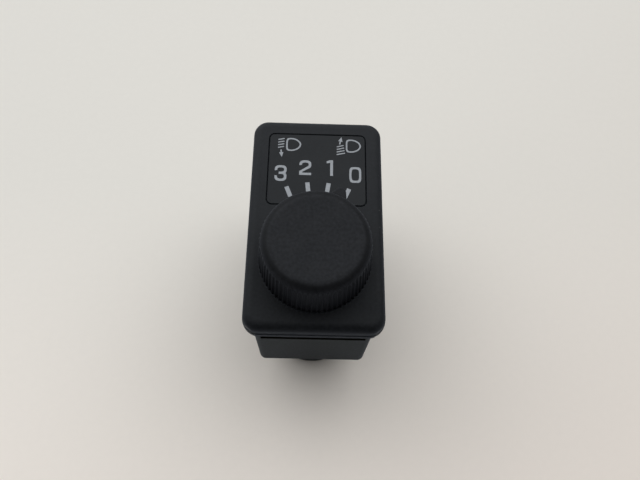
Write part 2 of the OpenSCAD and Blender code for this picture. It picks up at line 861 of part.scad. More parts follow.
// Coil spring with its end turns closed, swept along a helix
module coil(r, wire, l, turns) {
    steps = coil_steps * turns;
    half_l = (l - wire) / 2;
    function climb(t) = half_l * (1 + sign(t - 0.5) * pow(abs(2 * t - 1), coil_closing));
    points = [for (i = [0 : steps], j = [0 : coil_sides - 1])
        let (a = 360 * turns * i / steps, b = 360 * j / coil_sides, d = r + wire / 2 * cos(b))
            [d * cos(a), d * sin(a), wire / 2 * (1 + sin(b)) + climb(i / steps)]];
    walls = [for (i = [0 : steps - 1], j = [0 : coil_sides - 1])
        let (k = (j + 1) % coil_sides, low = i * coil_sides, high = low + coil_sides)
            [low + j, high + j, high + k, low + k]];
    first = [for (j = [0 : coil_sides - 1]) j];
    last = [for (j = [coil_sides - 1 : -1 : 0]) steps * coil_sides + j];
    polyhedron(points, concat(walls, [first, last]));
}

module detent_spring() {
    color([0.66, 0.67, 0.69]) at_knob() translate([detent_r, 0, pocket_z])
        coil(ball_r - spring_wire / 2 - slack, spring_wire,
             ball_z - ball_seat * ball_r - pocket_z, coil_turns);
}

// Wiper finger: a blade from the bar down to a round contact tip, turned up at its end
module wiper_finger(row) {
    bar_low = rotor_z - wiper_t - board_top - copper_t - run_gap;
    translate([row, 0, board_top + copper_t + run_gap]) rotate([90, 0, 90])
        linear_extrude(finger_w, center = true) {
            polygon([[-finger_half, bar_low], [-finger_half, bar_low + wiper_t],
                     [-finger_half + finger_root, bar_low + wiper_t],
                     [finger_half + toe_t / 2, tip_r + toe_t], [finger_half - toe_t / 2, tip_r - toe_t / 2]]);
            translate([finger_half, tip_r]) circle(tip_r);
            polygon([[finger_half, tip_r - toe_t], [finger_half + toe_l, tip_r + toe_rise],
                     [finger_half + toe_l - toe_t, tip_r + toe_rise + toe_t],
                     [finger_half, tip_r + toe_t]]);
        }
}

// Wiper: a ring under the rotor, with a bar that carries three sprung fingers
module wiper() {
    bar_end = wiper_rows[2] + finger_w / 2;
    color([0.8, 0.55, 0.3]) at_knob() rotate(wiper_angle) {
        translate([0, 0, rotor_z - wiper_t]) difference() {
            union() {
                cylinder(r = wiper_ring_r, h = wiper_t);
                translate([bar_in, finger_root - finger_half - bar_w, 0])
                    cube([bar_end - bar_in, bar_w, wiper_t]);
            }
            translate([0, 0, -eps]) cylinder(r = shaft_r + wiper_gap, h = wiper_t + 2 * eps);
            for (a = [90, 270]) rotate(a) translate([pin_ring_r, 0, -eps])
                cylinder(r = rivet_r + run_gap, h = wiper_t + 2 * eps);
        }
        for (row = wiper_rows) wiper_finger(row);
    }
}

function pin_x(i) = (i - (pin_count - 1) / 2) * pin_pitch;
function tip_radius(row) = sqrt(row * row + finger_half * finger_half);
function tip_angle(row) = wiper_angle + atan2(finger_half, row);

module circuit_board() {
    color([0.12, 0.32, 0.2]) at_knob() difference() {
        translate([0, 0, board_z]) cylinder(r = board_r, h = board_t);
        for (i = [0 : pin_count - 1]) translate([pin_x(i), pin_y, board_z - eps])
            cylinder(r = pin_hole_r, h = board_t + 2 * eps, $fn = 24);
    }
}

// One copper arc under the finger of a row, between two angles
module copper_arc(row, from, to) {
    mid_r = tip_radius(row);
    ring_sector(mid_r - track_w / 2, mid_r + track_w / 2, copper_t, from, to);
}

// Two full tracks, and an outer row with one pad for each setting
module contact_tracks() {
    color([0.8, 0.5, 0.3]) at_knob() translate([0, 0, board_top]) {
        for (k = [0, 1]) {
            from = tip_angle(wiper_rows[k]);
            copper_arc(wiper_rows[k], from - track_over, from + stop_angle + track_over);
        }
        for (i = [0 : 3]) {
            mid = tip_angle(wiper_rows[2]) + i * step;
            copper_arc(wiper_rows[2], mid - (step - track_gap) / 2, mid + (step - track_gap) / 2);
        }
    }
}

module chip_resistors() {
    color([0.1, 0.1, 0.1]) at_knob() for (i = [-1 : 1])
        translate([i * chip_pitch - chip[0] / 2, boss_r + 2 * slack - screw_y, board_z - chip[2]])
            cube(chip);
}

// Terminal: a blade in the socket, and a thin tail soldered through the board
module one_terminal() {
    low = base_z + pin_low;
    blade_z = low + pin_taper;
    translate([-pin_w / 2, -pin_t / 2, blade_z])
        cube([pin_w, pin_t, socket_top + socket_roof + slack - blade_z]);
    translate([0, 0, low]) rotate([90, 0, 0]) linear_extrude(pin_t, center = true)
        polygon([[-pin_tip_w / 2, 0], [pin_tip_w / 2, 0],
                 [pin_w / 2, pin_taper + eps], [-pin_w / 2, pin_taper + eps]]);
    translate([-pin_tip_w / 2, -pin_t / 2, socket_top])
        cube([pin_tip_w, pin_t, board_top + 2 * slack - socket_top]);
}

module terminals() {
    color([0.78, 0.78, 0.72]) at_knob() for (i = [0 : pin_count - 1])
        translate([pin_x(i), pin_y, 0]) one_terminal();
}

// Base: closes the drum, carries the terminals and forms the connector socket
module contact_base() {
    pin_hole = [pin_w + 2 * press_gap, pin_t + 2 * press_gap, socket_roof + 2 * eps];
    color([0.2, 0.2, 0.2]) at_knob() difference() {
        translate([0, 0, base_z]) union() {
            cylinder(r = bore_r - fit_gap, h = base_t);
            linear_extrude(socket_d + socket_roof)
                plan(socket_w + 2 * socket_wall, socket_h + 2 * socket_wall, 1);
            for (sx = [-1, 1], sy = [-1, 1])
                translate([sx * post_x, sy * post_y, 0]) cylinder(r = post_r, h = board_z - base_z);
        }
        translate([0, 0, base_z - eps]) linear_extrude(socket_d + eps) plan(socket_w, socket_h, window_r);
        translate([-key_w / 2, -socket_h / 2 - key_d, base_z - eps])
            cube([key_w, 2 * key_d, socket_d - key_short]);
        for (i = [0 : pin_count - 1])
            translate([pin_x(i) - pin_hole[0] / 2, pin_y - pin_hole[1] / 2, socket_top - eps])
                cube(pin_hole);
        for (s = [-1, 1]) translate([0, s * screw_y, base_z - eps]) {
            cylinder(r = screw_r + slack, h = base_t + 2 * eps);
            cylinder(r = head_r + slack, h = head_t + slack + eps);
        }
    }
}

module base_screws() {
    shank = screw_l - screw_tip;
    color([0.7, 0.7, 0.72]) at_knob() for (s = [-1, 1])
        translate([0, s * screw_y, base_z + slack]) difference() {
            union() {
                cylinder(r = head_r, h = head_t);
                cylinder(r = screw_r, h = shank);
                translate([0, 0, shank]) cylinder(r1 = screw_r, r2 = screw_r - screw_tip, h = screw_tip);
            }
            for (a = [0, 90]) rotate(a) translate([-slot_l / 2, -slot_w / 2, -eps])
                cube([slot_l, slot_w, slot_d]);
        }
}

// Lamp holder: a twist-lock barrel with two ears, and a cap with a grip behind the case
module lamp_holder() {
    pocket = [contact_t + fit_gap, contact_w + fit_gap, barrel_top];
    color([0.14, 0.14, 0.14]) at_lamp() difference() {
        union() {
            translate([0, 0, case_z - cap_t]) cylinder(r = barrel_r + cap_out, h = cap_t);
            translate([0, 0, case_z - cap_t]) cylinder(r = barrel_r, h = barrel_top - case_z + cap_t);
            translate([-barrel_r, -grip_w / 2, case_z - cap_t - grip_h])
                cube([2 * barrel_r, grip_w, grip_h + eps]);
            rotate(ear_angle) translate([-barrel_r - ear_out, -ear_w / 2, floor_top + run_gap])
                cube([2 * (barrel_r + ear_out), ear_w, ear_t]);
        }
        translate([0, 0, bulb_foot_z - press_gap]) cylinder(r = bulb_r + slack, h = barrel_top);
        for (s = [-1, 1])
            translate([s * (contact_in + contact_t / 2) - pocket[0] / 2, -pocket[1] / 2, floor_top])
                cube(pocket);
    }
}

// Capless lamp: a pinched glass foot under a round-ended tube
module lamp_bulb() {
    foot_w = 2 * (bulb_r - bulb_foot_in);
    color([0.9, 0.92, 0.94]) at_lamp() {
        translate([-foot_w / 2, -bulb_foot_t / 2, bulb_foot_z])
            cube([foot_w, bulb_foot_t, bulb_z - bulb_foot_z + cut_over]);
        translate([0, 0, bulb_z]) cylinder(r = bulb_r, h = bulb_l - bulb_r);
        translate([0, 0, bulb_z + bulb_l - bulb_r]) sphere(r = bulb_r);
    }
}

// Lamp contacts: a strip down each side of the barrel, with a foot on the feed strip
module lamp_contacts() {
    foot = floor_top + strip_t + run_gap;
    toe = strip_out_x + strip_toe;
    lip = bulb_r + fit_gap;
    top = barrel_top + run_gap;
    outer = contact_in + contact_t;
    color([0.82, 0.68, 0.36]) at_lamp() for (s = [-1, 1]) on_side(s)
        rotate([90, 0, 0]) linear_extrude(contact_w, center = true)
            polygon([[contact_in, foot], [toe, foot], [toe, foot + contact_t], [outer, foot + contact_t],
                     [outer, top + contact_t], [lip, top + contact_t], [lip, top], [contact_in, top]]);
}

// Feed strips: from the board, out through the drum's wall and along the floor to the lamp
module lamp_strips() {
    t = strip_t - press_gap;
    left = strip_x - strip_w / 2;
    from_y = knob_y + strip_reach - strip_t;
    turn_y = lamp_y - (barrel_r + ear_out + ear_w / 2) * sin(ear_angle) - 2 * slack - strip_w;
    color([0.82, 0.68, 0.36]) for (s = [-1, 1]) on_side(s) {
        translate([0, 0, floor_top + press_gap]) {
            translate([left, from_y, 0]) cube([strip_w, turn_y + strip_w - from_y, t]);
            translate([left, turn_y, 0]) cube([strip_out_x - strip_x + strip_w, strip_w, t]);
            translate([strip_out_x - strip_w / 2, turn_y, 0]) cube([strip_w, lamp_y - turn_y + cut_over, t]);
        }
        translate([left, from_y, board_top + press_gap])
            cube([strip_w, strip_t, floor_top + strip_t - board_top - press_gap]);
    }
}

bezel();
legend_panel();
light_guide();
housing();
knob();
knob_clip();
shaft();
shaft_bush();
thrust_washer();
e_ring();
rotor();
detent_plate();
detent_ball();
detent_spring();
wiper();
circuit_board();
contact_tracks();
chip_resistors();
contact_base();
terminals();
base_screws();
lamp_holder();
lamp_bulb();
lamp_contacts();
lamp_strips();
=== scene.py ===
# %% [markdown]
# A headlight levelling switch stands on its rear drum on a pale table. The hard pieces come ready
# made from the CAD frame, in metres, each at its real place. This lesson gives them their
# finishes, prints the legend, and then lights and frames the scene. No CAD piece is moved.

# %% Load the frame
import json
import math

import bmesh
import bpy
from mathutils import Matrix, Vector


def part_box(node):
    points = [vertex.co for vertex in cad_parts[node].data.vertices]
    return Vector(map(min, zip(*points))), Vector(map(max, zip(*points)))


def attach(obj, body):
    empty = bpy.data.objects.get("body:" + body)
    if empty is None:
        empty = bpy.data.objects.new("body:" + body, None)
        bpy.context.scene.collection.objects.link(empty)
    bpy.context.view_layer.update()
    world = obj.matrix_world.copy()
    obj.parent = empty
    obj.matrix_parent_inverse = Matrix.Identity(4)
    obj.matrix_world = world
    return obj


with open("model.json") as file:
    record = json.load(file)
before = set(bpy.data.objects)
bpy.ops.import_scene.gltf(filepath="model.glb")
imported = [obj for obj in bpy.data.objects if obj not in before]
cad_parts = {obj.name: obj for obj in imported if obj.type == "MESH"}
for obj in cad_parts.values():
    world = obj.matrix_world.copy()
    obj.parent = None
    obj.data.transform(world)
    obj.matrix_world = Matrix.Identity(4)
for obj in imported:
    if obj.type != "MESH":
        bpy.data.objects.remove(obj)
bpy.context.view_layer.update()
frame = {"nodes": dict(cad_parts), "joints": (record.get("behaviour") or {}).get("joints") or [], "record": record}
nodes = frame["nodes"]
print("pieces in the frame:", len(nodes))

# %% [markdown]
# All places on the face follow from three things in the frame: the legend panel's box, the turning
# axis of the knob, and the step between two settings. The knob has four settings, so one step is
# a third of the joint's range.

# %% Read the places on the face
MM = 0.001
SETTINGS = 4
panel_low, panel_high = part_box("legend_panel")
panel_mid = (panel_low + panel_high) / 2
face_z = panel_high.z
knob_joint = next(joint for joint in frame["joints"] if joint["name"] == "knob_turn")
knob_axis = Vector(knob_joint["pos_m"])
setting_step = knob_joint["range_deg"][1] / (SETTINGS - 1)
print("face at", round(face_z / MM, 2), "mm; one step is", setting_step, "degrees")

# %% [markdown]
# A finish on moulded plastic or stamped metal is a stack of small effects: grain, mottling, worn
# edges, dust. Building them means adding many nodes, so a few helpers come first. One adds any
# node, gives it its values and links, and sets it in a row. The others are short names for
# the sums and ramps that come up in every effect. A ramp is 0 where its value is off and 1 where
# it is on, and either of the two may be the larger.

# %% Helpers for shader nodes
COLUMN = 190


def add_node(tree, kind, inputs=None, **settings):
    node = tree.nodes.new(kind)
    node.location = (COLUMN * len(tree.nodes), 0)
    for name, value in settings.items():
        setattr(node, name, value)
    for name, value in (inputs or {}).items():
        if isinstance(value, bpy.types.NodeSocket):
            tree.links.new(value, node.inputs[name])
        else:
            node.inputs[name].default_value = value
    return node


def calculate(tree, operation, first, second=0.0):
    return add_node(tree, "ShaderNodeMath", {0: first, 1: second}, operation=operation).outputs[0]


def calculate_vector(tree, operation, first, second=(0.0, 0.0, 0.0)):
    node = add_node(tree, "ShaderNodeVectorMath", {0: first, 1: second}, operation=operation)
    return node.outputs["Vector" if operation in ("SUBTRACT", "MULTIPLY") else "Value"]


def ramp(tree, value, off, on, least=0.0, most=1.0):
    settings = {"Value": value, "From Min": off, "From Max": on, "To Min": least, "To Max": most}
    return add_node(tree, "ShaderNodeMapRange", settings).outputs["Result"]


print("helpers for shader nodes ready")

# %% [markdown]
# Places and sizes need two more helpers each. A spot is given in the piece's own coordinates, which
# stay put when the knob turns, and noise reads them. Sizes are written in millimetres and turned
# into metres, or into a texture's scale, which is how often the pattern fits in a metre.

# %% Helpers for places and sizes
def where(tree):
    return add_node(tree, "ShaderNodeTexCoord").outputs["Object"]


def noise(tree, place, scale, detail, roughness=0.5):
    inputs = {"Vector": place, "Scale": scale, "Detail": detail, "Roughness": roughness}
    return add_node(tree, "ShaderNodeTexNoise", inputs).outputs["Fac"]


def metres(tree, size_mm):
    return calculate(tree, "MULTIPLY", size_mm, MM)


def scale_of(tree, size_mm):
    return calculate(tree, "DIVIDE", 1 / MM, size_mm)


print("a pattern of 0.1 mm has a scale of", round(1 / (0.1 * MM)))

# %% [markdown]
# An effect is built once, as a shader node group with named sockets, and every material places it
# with its own values. One helper starts a group, and the other places it in a material.

# %% Helpers for node groups
def start_group(name, inputs, outputs):
    tree = bpy.data.node_groups.new(name, "ShaderNodeTree")
    for label, default in inputs.items():
        socket = tree.interface.new_socket(label, in_out="INPUT", socket_type="NodeSocketFloat")
        socket.default_value = default
    for label in outputs:
        tree.interface.new_socket(label, in_out="OUTPUT", socket_type="NodeSocketFloat")
    source = tree.nodes.new("NodeGroupInput").outputs
    sink = tree.nodes.new("NodeGroupOutput").inputs
    return tree, source, sink


def place_group(tree, group, **inputs):
    named = {label.replace("_", " "): value for label, value in inputs.items()}
    return add_node(tree, "ShaderNodeGroup", named, node_tree=group).outputs


print("helpers for node groups ready")

# %% [markdown]
# Moulded grain is the fine spark-eroded texture of a car's interior plastics: bumps about a tenth of
# a millimetre across. Beside it runs a soft mottling, a few times larger, that the eye sees as
# slight cloudiness. An image texture would need unwrapping, so both come from noise.

# %% Group: moulded grain
def build_grain():
    tree, source, sink = start_group("moulded grain", {"Grain mm": 0.12, "Mottle mm": 0.6},
                                     ["Height", "Mottle"])
    place = where(tree)
    bumps = noise(tree, place, scale_of(tree, source["Grain mm"]), detail=2.0)
    clouds = noise(tree, place, scale_of(tree, source["Mottle mm"]), detail=3.0)
    tree.links.new(bumps, sink["Height"])
    tree.links.new(ramp(tree, clouds, off=0.3, on=0.7), sink["Mottle"])
    return tree


moulded_grain = build_grain()
print("group ready:", moulded_grain.name)

# %% [markdown]
# Handling rubs plastic shiny and pale along its edges first. The Bevel node gives the normal that
# a rounded edge would have. Where it differs from the true normal there is an edge, and a noise
# breaks the mask up so that the wear looks rubbed and not painted.

# %% Group: rubbed edges
def build_edges():
    tree, source, sink = start_group("rubbed edges", {"Radius mm": 0.2, "Breakup mm": 0.8}, ["Wear"])
    rounded = add_node(tree, "ShaderNodeBevel", {"Radius": metres(tree, source["Radius mm"])}, samples=6)
    true_normal = add_node(tree, "ShaderNodeNewGeometry").outputs["Normal"]
    alike = calculate_vector(tree, "DOT_PRODUCT", rounded.outputs["Normal"], true_normal)
    edge = ramp(tree, alike, off=0.995, on=0.8)
    breakup = noise(tree, where(tree), scale_of(tree, source["Breakup mm"]), detail=4.0)
    patches = ramp(tree, breakup, off=0.35, on=0.6)
    tree.links.new(calculate(tree, "MULTIPLY", edge, patches), sink["Wear"])
    return tree


rubbed_edges = build_edges()
print("group ready:", rubbed_edges.name)

# %% [markdown]
# Creases get a painted tone: painted shade between the knob's flutes, and a painted lift in the
# groove round the legend that softens its shade. The Ambient Occlusion node tells how closed in
# a spot is.

# %% Group: painted crease tone
def build_creases():
    tree, source, sink = start_group("painted crease tone", {"Reach mm": 1.2}, ["Dirt"])
    reach = metres(tree, source["Reach mm"])
    openness = add_node(tree, "ShaderNodeAmbientOcclusion", {"Distance": reach}, samples=6).outputs["AO"]
    # The crease colour is painted light and shade: it follows how closed in a spot is.
    tree.links.new(ramp(tree, openness, off=0.95, on=0.35), sink["Dirt"])
    return tree


painted_crease_tone = build_creases()
print("group ready:", painted_crease_tone.name)

# %% [markdown]
# On the knob a band of painted shade lies on the shoulder, just inside the ridge that the fingers
# hold. The mask is the distance from the turning axis, so the band is round and turns with the
# knob, and it fades at both borders.

# %% Group: painted shoulder shade
def build_band():
    tree, source, sink = start_group("painted shoulder shade", {"Middle mm": 9.28, "Half width mm": 0.68}, ["Grease"])
    full_share = 0.3
    arm = calculate_vector(tree, "SUBTRACT", where(tree), knob_axis)
    flat_arm = calculate_vector(tree, "MULTIPLY", arm, (1.0, 1.0, 0.0))
    radius = calculate_vector(tree, "LENGTH", flat_arm)
    from_middle = calculate(tree, "SUBTRACT", radius, metres(tree, source["Middle mm"]))
    half_width = metres(tree, source["Half width mm"])
    full = calculate(tree, "MULTIPLY", half_width, full_share)
    # The band is painted shade.
    shoulder_shade = ramp(tree, calculate(tree, "ABSOLUTE", from_middle), off=half_width, on=full)
    tree.links.new(shoulder_shade, sink["Grease"])
    return tree


painted_shoulder_shade = build_band()
print("group ready:", painted_shoulder_shade.name)

# %% [markdown]
# A switch that was levered out of its panel has scuffed lower corners: pale, torn patches where the
# tool slipped. The mask is the distance from one corner point, torn up by a coarse noise.

# %% Group: scuffed corner
def build_scuff():
    sockets = {"Corner X": 0.0, "Corner Y": 0.0, "Corner Z": 0.0, "Size mm": 1.9}
    tree, source, sink = start_group("scuffed corner", sockets, ["Scuff"])
    full_share, tear_scale = 0.6, 1.1 / MM
    place = where(tree)
    at = {axis: source[f"Corner {axis}"] for axis in "XYZ"}
    corner = add_node(tree, "ShaderNodeCombineXYZ", at).outputs[0]
    apart = calculate_vector(tree, "DISTANCE", place, corner)
    size = metres(tree, source["Size mm"])
    near = ramp(tree, apart, off=size, on=calculate(tree, "MULTIPLY", size, full_share))
    torn = ramp(tree, noise(tree, place, tear_scale, detail=2.0), off=0.42, on=0.56)
    tree.links.new(calculate(tree, "MULTIPLY", near, torn), sink["Scuff"])
    return tree


scuffed_corner = build_scuff()
print("group ready:", scuffed_corner.name)

# %% [markdown]
# Dust settles on what faces up: a thin uneven film, and here and there a speck of a fifth of a
# millimetre. The film is noise, the specks are the few Voronoi cells whose random value is high,
# and both fade out on upright sides.

# %% Group: dust
def build_dust():
    tree, source, sink = start_group("dust", {"Speck mm": 1.6, "Rare": 0.93}, ["Film", "Specks"])
    film_scale = 0.25 / MM
    place = where(tree)
    normal = add_node(tree, "ShaderNodeNewGeometry").outputs["Normal"]
    up = add_node(tree, "ShaderNodeSeparateXYZ", {0: normal}).outputs["Z"]
    facing_up = ramp(tree, up, off=0.2, on=0.9)
    drift = ramp(tree, noise(tree, place, film_scale, detail=5.0, roughness=0.6), off=0.35, on=0.75)
    speck_scale = scale_of(tree, source["Speck mm"])
    cells = add_node(tree, "ShaderNodeTexVoronoi", {"Vector": place, "Scale": speck_scale})
    dot = ramp(tree, cells.outputs["Distance"], off=0.09, on=0.05)
    lottery = add_node(tree, "ShaderNodeSeparateXYZ", {0: cells.outputs["Color"]}).outputs["X"]
    speck = calculate(tree, "MULTIPLY", dot, calculate(tree, "GREATER_THAN", lottery, source["Rare"]))
    tree.links.new(calculate(tree, "MULTIPLY", drift, facing_up), sink["Film"])
    tree.links.new(calculate(tree, "MULTIPLY", speck, facing_up), sink["Specks"])
    return tree


dust = build_dust()
print("group ready:", dust.name)

# %% [markdown]
# Metal that was rolled, drawn or turned carries streaks along one direction. Noise whose
# coordinates are squeezed across the streaks gives them, both the height of the marks and the
# change of shine between one streak and the next.

# %% Group: tool streaks
def build_streaks():
    tree, source, sink = start_group("tool streaks", {"Streak mm": 0.08, "Along": 0.04},
                                     ["Height", "Sheen"])
    across = scale_of(tree, source["Streak mm"])
    along = calculate(tree, "MULTIPLY", across, source["Along"])
    squeeze = add_node(tree, "ShaderNodeCombineXYZ", {"X": across, "Y": across, "Z": along}).outputs[0]
    place = calculate_vector(tree, "MULTIPLY", where(tree), squeeze)
    streaks = noise(tree, place, scale=1.0, detail=3.0)
    tree.links.new(streaks, sink["Height"])
    tree.links.new(ramp(tree, streaks, off=0.3, on=0.7), sink["Sheen"])
    return tree


tool_streaks = build_streaks()
print("group ready:", tool_streaks.name)

# %% [markdown]
# Every finish ends in one Principled shader. One helper starts a material with the shader's plain
# values, and the next blends two colours by a mask. The Mix node has a set of sockets for each
# kind of data, so the ones for colour are picked by number. The last helper turns a height
# into a normal, and can round the piece's sharp edges a little on the way.

# %% Helpers for materials
MIX_MASK, MIX_FIRST, MIX_SECOND, MIX_RESULT = 0, 6, 7, 2


def start_material(name, **plain):
    material = bpy.data.materials.new(name)
    material.use_nodes = True
    tree = material.node_tree
    shader = tree.nodes["Principled BSDF"]
    for label, value in plain.items():
        shader.inputs[label.replace("_", " ")].default_value = value
    return material, tree, shader.inputs


def opaque(colour):
    return colour if isinstance(colour, bpy.types.NodeSocket) else (*colour, 1.0)


def blend_colour(tree, mask, first, second):
    inputs = {MIX_MASK: mask, MIX_FIRST: opaque(first), MIX_SECOND: opaque(second)}
    return add_node(tree, "ShaderNodeMix", inputs, data_type="RGBA").outputs[MIX_RESULT]


def bump(tree, height, depth_mm, edge_mm=0.0):
    inputs = {"Height": height, "Distance": depth_mm * MM, "Strength": 1.0}
    if edge_mm:
        soft = add_node(tree, "ShaderNodeBevel", {"Radius": edge_mm * MM}, samples=4)
        inputs["Normal"] = soft.outputs["Normal"]
    return add_node(tree, "ShaderNodeBump", inputs).outputs["Normal"]


print("helpers for materials ready")

# %% [markdown]
# The black plastics differ only in tint, shine and depth of grain. The colour is almost black:
# most of what the eye sees is the broad sheen of the surface. The plastic is mottled between a
# darker and a lighter shade, and its creases get a painted tone of their own: painted shade on
# the knob, and a painted lift that softens the shade of the legend's groove.

# %% Plastic as it was moulded, with painted crease tone
DARKER, LIGHTER = 0.66, 1.26


def shade(colour, share):
    return tuple(part * share for part in colour)


def mottled_crease_toned_plastic(tree, colour, mottle, crease, reach_mm):
    body = blend_colour(tree, mottle, shade(colour, DARKER), shade(colour, LIGHTER))
    # Painted crease tone: creases get a darker or lighter copy of the colour, standing in for shade.
    creases = place_group(tree, painted_crease_tone, Reach_mm=reach_mm)["Dirt"]
    return blend_colour(tree, creases, body, shade(colour, crease))


print("plastic is mottled between", DARKER, "and", LIGHTER, "of its colour")

# %% [markdown]
# Use leaves its marks on top: pale rubbed edges and scuffed corners. A band of painted shade on
# the knob's shoulder goes on with them. Each mark has its own mask and colour, and covers what
# lies below it. Painting them on by hand would need an image, and these masks find their places
# by themselves.

# %% Plastic in use, with painted shoulder shade
SHOULDER_SHADE_SHARE = 0.1
RUBBED_SHARE, RUBBED_LIFT = 2.2, 0.006
SCUFF_COLOUR = (0.085, 0.08, 0.07)


def worn_and_shaded_plastic(tree, colour, mottled_crease_toned, wear, shoulder_shade, scuffs):
    worn_and_shaded = mottled_crease_toned
    if shoulder_shade:
        # The knob's shoulder band is painted shade, a darker copy of the colour.
        band = calculate(tree, "MULTIPLY", place_group(tree, painted_shoulder_shade)["Grease"], shoulder_shade)
        worn_and_shaded = blend_colour(tree, band, worn_and_shaded, shade(colour, SHOULDER_SHADE_SHARE))
    rubbed = tuple(part * RUBBED_SHARE + RUBBED_LIFT for part in colour)
    worn_and_shaded = blend_colour(tree, wear, worn_and_shaded, rubbed)
    for corner in scuffs:
        at = {f"Corner_{axis}": part for axis, part in zip("XYZ", corner)}
        worn_and_shaded = blend_colour(tree, place_group(tree, scuffed_corner, **at)["Scuff"], worn_and_shaded, SCUFF_COLOUR)
    return worn_and_shaded


print("rubbed edges are", RUBBED_SHARE, "times as light")

# %% [markdown]
# Dust lies over all of it, as a thin film with a few specks. On the face a painted light grows
# from the near end toward the legend's end, so the face is lighter there.

# %% Plastic with its dust and painted light
FILM, FILM_COLOUR = 0.008, (0.45, 0.43, 0.4)
SPECKS, SPECK_COLOUR = 0.12, (0.6, 0.58, 0.54)
FAR_LIGHT_COLOUR = (0.43, 0.44, 0.46)
FAR_LIGHT_FROM_Y, FAR_LIGHT_FULL_Y = -19 * MM, 17 * MM


def dusty_lit_plastic(tree, worn_and_shaded, far_light):
    dirt = place_group(tree, dust)
    dusted_and_lit = blend_colour(tree, calculate(tree, "MULTIPLY", dirt["Film"], FILM), worn_and_shaded, FILM_COLOUR)
    # Painted light: the face grows lighter toward the legend's end.
    if far_light:
        along = add_node(tree, "ShaderNodeSeparateXYZ", {0: where(tree)}).outputs["Y"]
        far_light_mask = calculate(tree, "MULTIPLY", ramp(tree, along, off=FAR_LIGHT_FROM_Y, on=FAR_LIGHT_FULL_Y), far_light)
        dusted_and_lit = blend_colour(tree, far_light_mask, dusted_and_lit, FAR_LIGHT_COLOUR)
    specks = calculate(tree, "MULTIPLY", dirt["Specks"], SPECKS)
    return blend_colour(tree, specks, dusted_and_lit, SPECK_COLOUR)


# The face's painted light runs from this y up to the legend's end.
print("the face's painted light starts at y =", round(FAR_LIGHT_FROM_Y / MM), "mm")

# %% [markdown]
# The layers meet in one material. The mottling also makes the roughness slightly uneven, rubbed
# places are smoother, and the fine grain is a bump of about a hundredth of a millimetre. Each
# plastic says how strongly every effect shows on it.

# %% Material: moulded plastic
UNEVEN = 0.04
RUBBED_SMOOTH = 0.15


def moulded_plastic(name, colour, roughness, shine, grain_mm, depth_mm, edge_mm, worn, crease=1.0,
                    reach_mm=1.2, far_light=0.0, shoulder_shade=0.0, scuffs=()):
    material, tree, shader = start_material(name, IOR=1.47, Specular_IOR_Level=shine)
    grain = place_group(tree, moulded_grain, Grain_mm=grain_mm)
    wear = calculate(tree, "MULTIPLY", place_group(tree, rubbed_edges)["Wear"], worn)
    mottled_crease_toned = mottled_crease_toned_plastic(tree, colour, grain["Mottle"], crease, reach_mm)
    worn_and_shaded = worn_and_shaded_plastic(tree, colour, mottled_crease_toned, wear, shoulder_shade, scuffs)
    tree.links.new(dusty_lit_plastic(tree, worn_and_shaded, far_light), shader["Base Color"])
    dull = ramp(tree, grain["Mottle"], off=0.0, on=1.0, least=roughness - UNEVEN,
                most=roughness + UNEVEN)
    smoother = calculate(tree, "MULTIPLY", wear, RUBBED_SMOOTH)
    tree.links.new(calculate(tree, "SUBTRACT", dull, smoother), shader["Roughness"])
    tree.links.new(bump(tree, grain["Height"], depth_mm, edge_mm), shader["Normal"])
    return material


print("roughness varies by", UNEVEN, "either way")

# %% [markdown]
# The two scuffs sit on the lip at the face's lower corners, a millimetre or so inside the bezel's
# box and above the top of the housing.

# %% Find the scuffed corners
bezel_low, bezel_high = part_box("bezel")
lip_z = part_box("housing")[1].z
scuff_in = 1.2 * MM
left_up, left_out = 1.0 * MM, 1.2 * MM
right_up, right_out = 0.9 * MM, 1.0 * MM
lip_corners = [(bezel_low.x + scuff_in, bezel_low.y + left_up, lip_z + left_out),
               (bezel_high.x - scuff_in, bezel_low.y + right_up, lip_z + right_out)]
print("lip corners at", [round(part / MM, 2) for part in lip_corners[1]], "mm")

# %% [markdown]
# The bezel has a fine satin grain, a painted lift against the shade in its groove, and both
# scuffs. The legend panel is smoother and shows a little more shine. The knob is soft, with a
# band of painted shade on its shoulder and painted shade in its creases. The case and the
# connector base were never meant to be seen, and their grain is coarser.

# %% Mix the plastics
# The face's and legend's creases are painted lighter, a painted lift against the groove's shade.
face_plastic = moulded_plastic("face plastic", (0.0092, 0.0097, 0.0108), roughness=0.56, shine=0.15,
                               grain_mm=0.14, depth_mm=0.010, edge_mm=0.12, worn=0.3, crease=8.0,
                               reach_mm=0.5, far_light=0.014, scuffs=lip_corners)
legend_plastic = moulded_plastic("legend plastic", (0.0060, 0.0066, 0.0076), roughness=0.5, shine=0.215,
                                 grain_mm=0.1, depth_mm=0.004, edge_mm=0.08, worn=0.3, crease=12.0,
                                 reach_mm=0.5)
# On the knob the creases and a band on the shoulder get painted shade.
knob_plastic = moulded_plastic("knob plastic", (0.0150, 0.0152, 0.0168), roughness=0.6, shine=0.115,
                               grain_mm=0.16, depth_mm=0.012, edge_mm=0.1, worn=0.05, crease=0.2,
                               shoulder_shade=0.58)
# The case's warm, yellowish tint is a painted reflection of the warm table.
case_plastic = moulded_plastic("case plastic", (0.0165, 0.0152, 0.0085), roughness=0.5, shine=0.075,
                               grain_mm=0.2, depth_mm=0.008, edge_mm=0.15, worn=0.4)
base_plastic = moulded_plastic("base plastic", (0.0180, 0.0180, 0.0175), roughness=0.45, shine=0.14,
                               grain_mm=0.2, depth_mm=0.006, edge_mm=0.1, worn=0.4)
print("plastics ready: 5")

# %% [markdown]
# Metals need a metallic shader whose roughness changes along the tool marks. Patches of tarnish
# darken them and take the shine down.

# %% Material: worked metal
SMOOTHER_MARK, ROUGHER_MARK = 0.06, 0.08
TARNISH_DULLS = 0.2
METAL_EDGE_MM = 0.05


